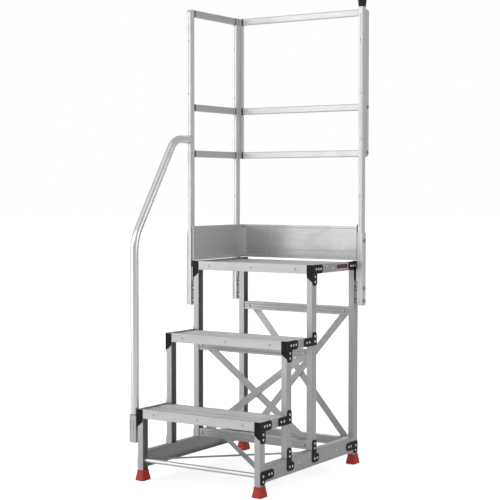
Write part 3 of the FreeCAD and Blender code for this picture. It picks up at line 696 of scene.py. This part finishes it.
# %% [markdown]
# ## Grow a tree on its points
#
# A tree is a modifier until it is turned into plain mesh. Its inputs are set by the
# identifier of their socket, before Blender first works the tree out. Instances of a
# fastener would be lighter, but the export keeps only plain mesh.


# %% From points to plain mesh
def crisp(piece, sharp=35.0):
    """Smooth shading broken at every edge sharper than this many degrees."""
    bm = bmesh.new()
    bm.from_mesh(piece.data)
    shade(bm, piece.data, sharp)
    return piece


def grown(piece, tree, material, seed, **sizes):
    """The fasteners of a tree as plain mesh; a size is given by its input's name, in millimetres."""
    values = {key.replace("_", " "): size * MM for key, size in sizes.items()}
    values.update({"Material": material, "Seed": seed})
    modifier = piece.modifiers.new(tree.name, "NODES")
    modifier.node_group = tree
    for item in tree.interface.items_tree:
        if item.item_type == "SOCKET" and item.in_out == "INPUT" and item.name in values:
            modifier[item.identifier] = values[item.name]
    return crisp(as_built(piece))


print("ready to grow:", domed_rivet.name, cross_screw.name, plain_washer.name)

# %% [markdown]
# ## Set the rivets
#
# A rivet's head sits on the outer face of the black plates, on both side frames. Its
# height and depth are the middle of the measured rivet, and the face is where the plates
# end. Taking the places from the measured rivets keeps every head over its own hole.


# %% Rivets of the side frames
def hand_of(low, high):
    """Which side of the platform a box is on: -1 left, 1 right."""
    return 1.0 if high.x > 0 else -1.0


plate_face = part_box("leg_joint_brackets")[1].x
rivet_places = []
for low, high in rivet_parts:
    side = hand_of(low, high)
    middle = (low + high) / 2
    rivet_places.append(((side * plate_face, middle.y, middle.z), (side, 0.0, 0.0)))
rivets = grown(points("bracket_rivet_heads", rivet_places), domed_rivet, rivet_metal, 3,
               Head_radius=5.4, Head_height=2.3, Shank_length=5.2)
fit(rivets, None, "rivet_aluminium", "bracket_rivets")

# %% [markdown]
# ## Rivets of the long side members
#
# A few more rivets stand alone on the side members: they hold the fittings inside them.
# The measured model has none, so their places are given as shares of each member's length
# and height, which moves them along if a member changes.

# %% Lone rivets
LONE_RIVETS = (("platform_rail", 0.26, 0.72), ("platform_rail", 0.43, 0.45), ("bottom_beam", 0.79, 0.5),
               ("bottom_beam", 0.36, 0.5))
HANDS = (("left", -1.0), ("right", 1.0))
places = []
for member, along, up in LONE_RIVETS:
    for hand, side in HANDS:
        low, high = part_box(f"{member}_{hand}")
        face = high.x if side > 0 else low.x
        place = (face, low.y + along * (high.y - low.y), low.z + up * (high.z - low.z))
        places.append((place, (side, 0.0, 0.0)))
lone_rivets = grown(points("side_member_rivets", places), domed_rivet, rivet_metal, 13,
                    Head_radius=5.0, Head_height=2.0, Shank_length=3.0)
fit(lone_rivets, None, "rivet_aluminium")

# %% [markdown]
# ## Set the screws and washers
#
# The short fasteners of the frame are the tread screws, which get cross-recessed heads.
# The long ones are the bolts and spacers of the braces, whose measured shape is good
# enough to copy. Bolt heads on the frame and on the guard stand on plain washers, which
# the measured model leaves out.


# %% Helpers that pick parts of a node
def copied_parts(name, node_name, keep):
    """The loose parts of a node that keep(low, high) accepts, as a new piece."""
    bm = merged_mesh(node_name)
    margin = 0.02 * MM
    dropped = [part for part in loose_parts(node_name) if not keep(*part)]

    def inside(point, low, high):
        return all(low[i] - margin <= point[i] <= high[i] + margin for i in range(3))

    unwanted = [vertex for vertex in bm.verts if any(inside(vertex.co, *part) for part in dropped)]
    bmesh.ops.delete(bm, geom=unwanted, context="VERTS")
    return new_piece(name, bm)


def is_long(low, high):
    """True for the bolts and spacers of the braces, which are longer than any tread screw."""
    return high.y - low.y > 20 * MM


def middle_at(low, high, **fixed):
    """The middle of a box, moved to the given coordinates."""
    centre = (low + high) / 2
    for axis, value in fixed.items():
        setattr(centre, axis, value)
    return tuple(centre)


print("long fasteners:", sum(is_long(*part) for part in screw_parts), "of", len(screw_parts))

# %% Tread screws and brace bolts
FRONT = (0.0, -1.0, 0.0)
screw_head = 2.0 * MM          # how far a measured tread screw stands out of its face
screw_places = [(middle_at(low, high, y=low.y + screw_head), FRONT)
                for low, high in screw_parts if not is_long(low, high)]
screws = grown(points("tread_screw_heads", screw_places), cross_screw, zinc, 5)
fit(screws, None, "fastener_steel")
bolts = copied_parts("brace_bolts_and_spacers", "frame_screws", is_long)
fit(bolts, zinc, "fastener_steel", "frame_screws")

# %% Washers
bolt_head = 3.6 * MM
widest_bolt = 14 * MM          # a spacer is wider than this, and has no washer
washer_places = [(middle_at(low, high, y=low.y + bolt_head), FRONT)
                 for low, high in screw_parts if is_long(low, high) and high.x - low.x < widest_bolt]
small_washers = grown(points("brace_washers", washer_places), plain_washer, zinc, 7,
                      Radius=8.0, Thickness=1.2)
fit(small_washers, None, "fastener_steel")

socket_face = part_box("guard_socket_rear_right")[1].x
least_reach = socket_face + 4 * MM      # a bolt reaches past the socket, a packing block doesn't
washer_places = []
for low, high in guard_parts:
    side = hand_of(low, high)
    if max(abs(low.x), abs(high.x)) > least_reach:
        washer_places.append((middle_at(low, high, x=side * socket_face), (side, 0.0, 0.0)))
guard_washers = grown(points("guard_washers", washer_places), plain_washer, zinc, 9,
                      Radius=9.5, Thickness=1.4)
fit(guard_washers, None, "fastener_steel")

# %% [markdown]
# ## Rubber boots
#
# Each leg stands in a moulded rubber boot: a tapered rectangular cup, wider at the floor,
# with rounded corners, a bead round its mouth and a blind hole in the outer side for the
# pin that keeps it on. A cube could be scaled and subdivided into one, but its sizes would
# be hard to state. It is a loft: a few rounded rectangles at chosen heights, each a little
# larger or smaller, joined by strips of faces.


# %% Loft of rounded rectangles
def rounded_rectangle(low, high, radius, steps=5):
    """Points round a rectangle with arcs at its corners, as (a, b)."""
    (a0, b0), (a1, b1) = low, high
    centres = ((a1 - radius, b1 - radius), (a0 + radius, b1 - radius),
               (a0 + radius, b0 + radius), (a1 - radius, b0 + radius))
    made = []
    for quarter, (a, b) in enumerate(centres):
        for step in range(steps + 1):
            angle = math.radians(90 * quarter + 90 * step / steps)
            made.append((a + radius * math.cos(angle), b + radius * math.sin(angle)))
    return made


def loft(bm, rings):
    """Strips of faces between rings of points, with flat ends."""
    loops = [[bm.verts.new(point) for point in ring] for ring in rings]
    for lower, upper in zip(loops, loops[1:]):
        for i in range(len(lower)):
            j = (i + 1) % len(lower)
            bm.faces.new((lower[i], lower[j], upper[j], upper[i]))
    bm.faces.new(reversed(loops[0]))
    bm.faces.new(loops[-1])


print("a corner has", len(rounded_rectangle((0, 0), (1, 1), 0.1)) // 4, "points")


# %% One boot, with a hole for its pin
def sideways_pin(bm, centre, radius, length, segments):
    """A round pin that lies across the platform."""
    place = Matrix.Translation(centre) @ Matrix.Rotation(math.pi / 2, 4, "Y")
    bmesh.ops.create_cone(bm, cap_ends=True, segments=segments, radius1=radius, radius2=radius,
                          depth=length, matrix=place)


BOOT_LEVELS = ((0.0, 5.6), (1.2, 7.6), (3.5, 8.8), (12.0, 7.6), (34.0, 3.6), (38.0, 3.0),
               (39.0, 3.6), (42.5, 3.6), (44.0, 2.6))       # height and spread past the leg


def boot(name, leg_low, leg_high, floor, mouth, pin_place):
    """A boot round the foot of a leg, with a hole for its pin."""
    bm = bmesh.new()
    rings = []
    for height, spread in BOOT_LEVELS:
        grow = Vector((spread, spread)) * MM
        low, high = Vector(leg_low[:2]) - grow, Vector(leg_high[:2]) + grow
        z = floor + (mouth - floor) * height / BOOT_LEVELS[-1][0]
        rings.append([(a, b, z) for a, b in rounded_rectangle(low, high, 4.5 * MM)])
    loft(bm, rings)
    piece = new_piece(name, bm, 50.0)
    hole = bmesh.new()
    sideways_pin(hole, pin_place, 3.6 * MM, 16 * MM, 24)
    cutter = new_piece(name + "_cutter", hole)
    cut = piece.modifiers.new("pin hole", "BOOLEAN")
    cut.object = cutter
    cut.solver = "EXACT"
    as_built(piece)
    bpy.data.objects.remove(cutter)
    return crisp(piece)


print("boot levels:", len(BOOT_LEVELS))

# %% Boots and pins of the four feet
pin_height = 25 * MM
pin_past_leg = 1.2 * MM
# Black pins at the bottom of the pin holes: they stand for real pins, and their black colour also paints the
# shade inside the holes.
pins = bmesh.new()
for end in ("front", "rear"):
    for hand, side in HANDS:
        leg_low, leg_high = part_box(f"leg_{end}_{hand}")
        foot_low, foot_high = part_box(f"foot_{end}_{hand}")
        leg_face = side * max(abs(leg_low.x), abs(leg_high.x))
        pin_place = Vector((leg_face, (leg_low.y + leg_high.y) / 2, foot_low.z + pin_height))
        made = boot(f"boot_{end}_{hand}", leg_low, leg_high, foot_low.z, foot_high.z, pin_place)
        fit(made, red_rubber, "foot_rubber", f"foot_{end}_{hand}")
        sideways_pin(pins, pin_place + Vector((side * pin_past_leg, 0.0, 0.0)), 3.5 * MM, 3 * MM, 20)
fit(new_piece("boot_pins_and_hole_shade", pins), black_rubber, "black_rubber")

# %% [markdown]
# ## Guard posts with grooved faces
#
# A guard post is a drawn rectangular tube. Its narrow front face has one groove, and its
# wide faces have two, which the clips of the rails hook into. Cutting the grooves out of a
# block would leave ragged faces, so the section is drawn with its grooves and carried from
# end to end. A corner fitting closes the top and turns the post into the top rail, so its
# outer top edge is well rounded.


# %% Grooved post section
def grooved_rectangle(a0, a1, b0, b1, radius, grooves, width, depth):
    """Section with round corners; grooves gives the places of the grooves along each side.

    The sides are 0 front, 1 right, 2 rear and 3 left."""
    sides = (((a0, b0), (a1, b0)), ((a1, b0), (a1, b1)), ((a1, b1), (a0, b1)), ((a0, b1), (a0, b0)))
    made = []
    for index, (start, end) in enumerate(sides):
        start, end = Vector(start), Vector(end)
        run = (end - start).normalized()
        inward = Vector((-run.y, run.x))
        length = (end - start).length
        centre = start + (run + inward) * radius
        for step in range(4):
            angle = math.radians(90 * step / 3)
            made.append(centre - (inward * math.sin(angle) + run * math.cos(angle)) * radius)
        for place in sorted(grooves.get(index, ())):
            middle = start + run * (length * place)
            for along, down in ((-0.5, 0.0), (-0.3, 1.0), (0.3, 1.0), (0.5, 0.0)):
                made.append(middle + run * (width * along) + inward * (depth * down))
    return made


POST_GROOVES = {0: (0.5,), 1: (0.24, 0.76), 2: (0.5,), 3: (0.24, 0.76)}


def grooved_post(name, node_name, head_height):
    """A measured post with its grooves, up to the underside of its head."""
    low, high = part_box(node_name)
    section = grooved_rectangle(low.x, high.x, low.y, high.y, 2.5 * MM, POST_GROOVES, 3.4 * MM, 1.6 * MM)
    bm = bmesh.new()
    loft(bm, [[(a, b, z) for a, b in section] for z in (low.z, high.z - head_height)])
    return new_piece(name, bm, 35.0)


print("grooves on a post:", sum(len(places) for places in POST_GROOVES.values()))


# %% Posts and their heads
def corner_fitting(name, node_name, head_height, rounding):
    """Closed head of a post; its top front edge has the given radius."""
    low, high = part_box(node_name)
    bottom = high.z - head_height
    proud = 0.3 * MM
    steps = 8
    bm = bmesh.new()
    outline = [(low.y - proud, bottom)]
    for step in range(steps + 1):
        angle = math.radians(180 - 90 * step / steps)
        outline.append((low.y - proud + rounding * (1 + math.cos(angle)),
                        high.z - rounding * (1 - math.sin(angle))))
    outline += [(high.y, high.z), (high.y, bottom)]
    loft(bm, [[(x, y, z) for y, z in outline] for x in (low.x - proud, high.x + proud)])
    return ease_edges(new_piece(name, bm), 1.6 * MM, 50.0, False)


head_height = 34 * MM
POST_ROUNDING = {"front_left": 17 * MM, "rear_left": 3 * MM, "rear_right": 3 * MM}
for place, rounding in POST_ROUNDING.items():
    node_name = "guard_post_" + place
    post = grooved_post("grooved_post_" + place, node_name, head_height)
    fit(post, anodised["Z"], "guard_aluminium", node_name)
    head = corner_fitting("post_head_" + place, node_name, head_height, rounding)
    fit(head, anodised["Z"], "guard_aluminium")

# %% [markdown]
# ## End pieces of the guard rails
#
# Every guard rail is pushed over a dark plastic end piece that is screwed to its post. Only
# a short band of the end piece shows, as a dark line between rail and post. It could be
# painted on, but it stands a little proud. Each band is a short loft of the rail's own
# rounded section, a little larger than the rail; at the back it stays inside the rail, so
# that the platform gets no deeper.


# %% Bands at the rail ends
def rail_bands(name, rails, axis, proud, behind):
    """Bands that stand proud of the rails; behind is how far they do so on the rear side."""
    length = 9 * MM
    bm = bmesh.new()
    across = [i for i in range(3) if i != axis]
    for node_name in rails:
        low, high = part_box(node_name)
        for start, end in ((low[axis], low[axis] + length), (high[axis] - length, high[axis])):
            rings = []
            for at, spread in ((start, proud * 0.5), (start + proud, proud), (end - proud, proud),
                               (end, proud * 0.5)):
                lower = [low[i] - spread for i in across]
                upper = [high[i] + (min(spread, behind) if i == 1 else spread) for i in across]
                ring = []
                for a, b in rounded_rectangle(lower, upper, 5.0 * MM):
                    point = Vector()
                    point[axis], point[across[0]], point[across[1]] = at, a, b
                    ring.append(point)
                rings.append(ring)
            loft(bm, rings)
    return new_piece(name, bm, 35.0)


heights = ("top", "mid", "low")
band = 0.5 * MM
side_bands = rail_bands("side_rail_bands", ["side_guard_rail_" + h for h in heights], 1, band, band)
fit(side_bands, dark_plastic, "fitting_plastic")
back_bands = rail_bands("back_rail_bands", ["back_guard_rail_" + h for h in heights], 0, band, -0.05 * MM)
fit(back_bands, dark_plastic, "fitting_plastic")

# %% [markdown]
# ## Black post cap
#
# The rear right post ends in a soft black cap that flares towards the top and has upright
# ribs for the fingers. An array of ribs round a core would leave seams, so the cap is one
# loft, and its ribs are made by moving every other point of a ring in.


# %% Ribbed cap
def ribbed_ring(low, high, spread, rib, z):
    """Points round the cap at one height; every other one stands in by rib."""
    arc_steps = 3
    per_arc = arc_steps + 1
    corners = rounded_rectangle((low.x - spread, low.y - spread), (high.x + spread, high.y + spread),
                                5 * MM, arc_steps)
    middle = (low + high) / 2
    ring = []
    for i, (a, b) in enumerate(corners):
        a1, b1 = corners[(i + 1) % len(corners)]
        arc, step = divmod(i, per_arc)
        straight = step == arc_steps
        pieces = (14 if arc % 2 else 8) if straight else 1
        for k in range(pieces):
            point = Vector((a + (a1 - a) * k / pieces, b + (b1 - b) * k / pieces, z))
            inward = (Vector((middle.x, middle.y, z)) - point).normalized()
            ring.append(point + inward * (rib if len(ring) % 2 else 0.0))
    return ring


post_low, post_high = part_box("guard_post_rear_right")
cap_low, cap_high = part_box("post_cap")
cap_height = cap_high.z - cap_low.z
CAP_LEVELS = ((0.0, 0.9, 0.0), (0.06, 1.4, 0.0), (0.12, 1.6, 0.5), (0.5, 3.0, 0.6), (0.82, 4.0, 0.6),
              (0.88, 4.2, 0.0), (0.96, 4.0, 0.0), (1.0, 2.8, 0.0))      # share of height, spread, rib
cap = bmesh.new()
loft(cap, [ribbed_ring(post_low, post_high, spread * MM, rib * MM, cap_low.z + part * cap_height)
           for part, spread, rib in CAP_LEVELS])
fit(new_piece("ribbed_post_cap", cap, 30.0), black_rubber, "black_rubber", "post_cap")

# %% [markdown]
# ## Collars of the handrail
#
# The handrail stands in its socket through a dark plastic gasket, and meets the front guard
# post through a short flanged collar of aluminium. Both are turned shapes. A Screw modifier
# could spin them, but the rings of points are as short to write: a profile of radius and
# distance, spun about the tube's axis.


# %% Turned collars
def turned(name, profile, origin, direction, segments=40):
    """A closed ring spun from (radius, distance along the axis) points."""
    axis = Vector(direction).normalized()
    across = axis.orthogonal().normalized()
    other = axis.cross(across)
    bm = bmesh.new()
    rows = []
    for radius, along in profile:
        row = []
        for i in range(segments):
            angle = math.tau * i / segments
            offset = across * math.cos(angle) + other * math.sin(angle)
            row.append(bm.verts.new(Vector(origin) + axis * along + offset * radius))
        rows.append(row)
    for row, following in zip(rows, rows[1:] + rows[:1]):
        for i in range(segments):
            j = (i + 1) % segments
            bm.faces.new((row[i], row[j], following[j], following[i]))
    return new_piece(name, bm, 35.0)


rail_low, rail_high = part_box("handrail")
socket_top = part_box("handrail_socket")[1].z
tube_radius = (rail_high.x - rail_low.x) / 2
tube_x = (rail_high.x + rail_low.x) / 2
upright_y = rail_low.y + tube_radius
level_z = rail_high.z - tube_radius


def round_the_tube(*profile):
    """A profile in millimetres outside the tube's skin, as radius and distance in metres."""
    return [(tube_radius + out * MM, along * MM) for out, along in profile]


gasket = turned("handrail_gasket", round_the_tube((0, -3), (2.4, -3), (2.4, 1.2), (1.6, 2.2), (0, 2.6)),
                (tube_x, upright_y, socket_top), (0, 0, 1))
fit(gasket, dark_plastic, "fitting_plastic")
collar = turned("handrail_collar",
                round_the_tube((0, 0.2), (2.6, 0.2), (2.6, 2.4), (1.5, 3.4), (1.5, 16), (0, 17)),
                (tube_x, rail_high.y, level_z), (0, -1, 0))
fit(collar, anodised["Y"], "guard_aluminium")

# %% [markdown]
# ## Toe board fittings
#
# A riveted aluminium angle joins the two toe boards in their corner. At the other end, a
# dark block fills the space between the back board and the guard socket. Both are parts of
# one measured node, but of two materials, so the node is split into two pieces.

# %% Corner angle and end block
angle = copied_parts("toe_board_angle", "toe_board_fittings", lambda low, high: high.x < 0)
fit(angle, anodised["Z"], "guard_aluminium")
block = copied_parts("toe_board_end_block", "toe_board_fittings", lambda low, high: low.x > 0)
fit(block, dark_plastic, "fitting_plastic", "toe_board_fittings")

# %% [markdown]
# ## Small screws of the posts
#
# Self-drilling screws hold the fittings inside each post, so their heads show on its front
# and outer faces, all at the same heights. The tree of the tread screws makes them too, a
# size smaller.

# %% Post screws
post_screw_heights = (1.866, 1.635, 1.434, 1.186)       # metres above the floor
places = []
for place in POST_ROUNDING:
    low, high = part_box("guard_post_" + place)
    outer = hand_of(low, high)
    face = high.x if outer > 0 else low.x
    places += [(((low.x + high.x) / 2, low.y, height), FRONT) for height in post_screw_heights]
    places += [((face, (low.y + high.y) / 2, height), (outer, 0.0, 0.0)) for height in post_screw_heights]
post_screws = grown(points("post_screw_heads", places), cross_screw, zinc, 11,
                    Head_radius=3.2, Head_height=1.6, Slot_width=0.9)
fit(post_screws, None, "fastener_steel")

# %% [markdown]
# ## Name plate
#
# A thin dark red plate with round corners and a raised metal rim sits on the right platform
# rail. It is left blank, because the part is generic. The marks of a real plate could be an
# image or raised letters, but neither belongs here. The plate and its rim are lofts of one
# outline, set in further and further.

# %% Blank plate and rim
rail_low, rail_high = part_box("platform_rail_right")
plate_low = Vector((rail_high.x, rail_high.y - 162 * MM, rail_low.z + 8 * MM))
plate_high = Vector((rail_high.x, rail_high.y - 58 * MM, rail_high.z - 4 * MM))
corner = 6.0           # millimetres


def thin_plate(name, levels):
    """A thin plate on the rail's outer face, from (inset, rise) levels in millimetres."""
    bm = bmesh.new()
    rings = []
    for inset, rise in levels:
        low, high = plate_low + Vector((0, inset, inset)) * MM, plate_high - Vector((0, inset, inset)) * MM
        ring = rounded_rectangle((low.y, low.z), (high.y, high.z), (corner - inset) * MM)
        rings.append([(plate_low.x + rise * MM, y, z) for y, z in ring])
    loft(bm, rings)
    return new_piece(name, bm, 25.0)


RIM_LEVELS = ((0.0, 0.0), (0.0, 0.6), (0.5, 0.9), (3.4, 0.9), (3.6, 0.6))
FACE_LEVELS = ((3.6, 0.5), (3.6, 0.8), (4.0, 1.0))
fit(thin_plate("name_plate_rim", RIM_LEVELS), anodised["Y"], "guard_aluminium")
fit(thin_plate("blank_name_plate", FACE_LEVELS), enamel, "fitting_plastic")

# %% [markdown]
# ## Floor
#
# The platform stands on a plain pale floor, a disc so large that its rim is never seen. A
# studio lifts such a floor to white with extra light. Here a little emission does it, only
# for what the camera sees, so that it throws no light on the platform.

# %% Pale floor
ground = bmesh.new()
bmesh.ops.create_circle(ground, cap_ends=True, segments=96, radius=60.0)
floor = new_piece("studio_floor", ground)
pale, tree, shader = new_material("pale_floor")
shader.inputs["Base Color"].default_value = (0.9, 0.9, 0.9, 1.0)
shader.inputs["Roughness"].default_value = 0.9
shader.inputs["Emission Color"].default_value = (1.0, 1.0, 1.0, 1.0)
FLOOR_LIFT = 0.62
seen = add(tree, "ShaderNodeLightPath").outputs["Is Camera Ray"]
tree.links.new(maths(tree, "MULTIPLY", seen, FLOOR_LIFT), shader.inputs["Emission Strength"])
floor.data.materials.append(pale)
floor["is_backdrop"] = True
print("floor:", floor.name)

# %% [markdown]
# ## Light
#
# Bare metal shows what surrounds it, so it needs large soft lights. A broad one at the
# front left and a strip at the left give the bright front faces and the soft shading of
# the sides. One high at the front lifts the treads, one behind draws the edges of the
# guard, and a weaker one fills the right. A wide weak sun evens them out. The room is a
# mid grey for the metal to reflect, and white where the camera looks past the platform.


# %% Soft lights and daylight
def soft_light(name, place, size, power):
    """A rectangular light that looks at the middle of the platform."""
    light = bpy.data.lights.new(name, "AREA")
    light.shape = "RECTANGLE"
    light.size, light.size_y = size
    light.energy = power
    lamp = in_scene(name, light)
    lamp.location = place
    lamp.rotation_euler = (CENTRE - Vector(place)).to_track_quat("-Z", "Y").to_euler()


CENTRE = Vector((0.0, 0.0, 1.0))
soft_light("key_from_front_left", (-2.9, -4.7, 1.9), (3.2, 4.2), 44.0)
soft_light("strip_from_left", (-4.3, -3.0, 1.6), (1.6, 3.6), 34.0)
soft_light("broad_from_behind", (-1.6, 5.2, 2.4), (2.6, 3.2), 34.0)
soft_light("front_from_above", (0.6, -5.2, 4.4), (2.4, 2.4), 28.0)
soft_light("fill_from_right", (4.6, 0.6, 2.2), (1.6, 2.6), 26.0)

sun = bpy.data.lights.new("even_daylight", "SUN")
sun.energy = 0.3
sun.angle = math.radians(60.0)
daylight = in_scene("even_daylight", sun)
daylight.rotation_euler = (math.radians(38.0), 0.0, math.radians(-25.0))
print("lights:", len(bpy.data.lights))

# %% Grey room with a white backdrop
ROOM_LIGHT = 0.46
BACKDROP = 1.0
world = bpy.data.worlds.new("pale_room")
world.use_nodes = True
background = world.node_tree.nodes["Background"]
background.inputs["Color"].default_value = (1.0, 1.0, 1.0, 1.0)
seen = add(world.node_tree, "ShaderNodeLightPath").outputs["Is Camera Ray"]
strength = maths(world.node_tree, "MULTIPLY_ADD", seen, BACKDROP - ROOM_LIGHT, ROOM_LIGHT)
world.node_tree.links.new(strength, background.inputs["Strength"])
bpy.context.scene.world = world
bpy.context.scene.view_settings.view_transform = "Standard"
print("room light", ROOM_LIGHT, "backdrop", BACKDROP)

# %% [markdown]
# ## Camera
#
# A long lens far away, at the height of a person's chest, keeps the uprights nearly
# parallel. The lens has no shift, so that any other view stays in frame as well.

# %% Camera at the front right
CAMERA_PLACE = (3.0396, -4.7087, 1.2126)
CAMERA_TURN = 32.91          # degrees to the left of straight ahead
CAMERA_DOWN = 2.63           # degrees below level
camera_data = bpy.data.cameras.new("camera")
camera_data.lens = 94.35
camera_data.sensor_width = 36.0
camera = in_scene("camera", camera_data)
camera.location = CAMERA_PLACE
camera.rotation_euler = (math.radians(90 - CAMERA_DOWN), 0.0, math.radians(CAMERA_TURN))
bpy.context.scene.camera = camera
print("camera at", CAMERA_PLACE)

# %% [markdown]
# ## Size of the dressed platform
#
# The box round everything but the floor is printed. The dressed platform must be no larger
# than the measured one.

# %% Size of the dressed platform
low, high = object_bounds()
print("visual box:", [round(v, 3) for v in (*low, *high)])
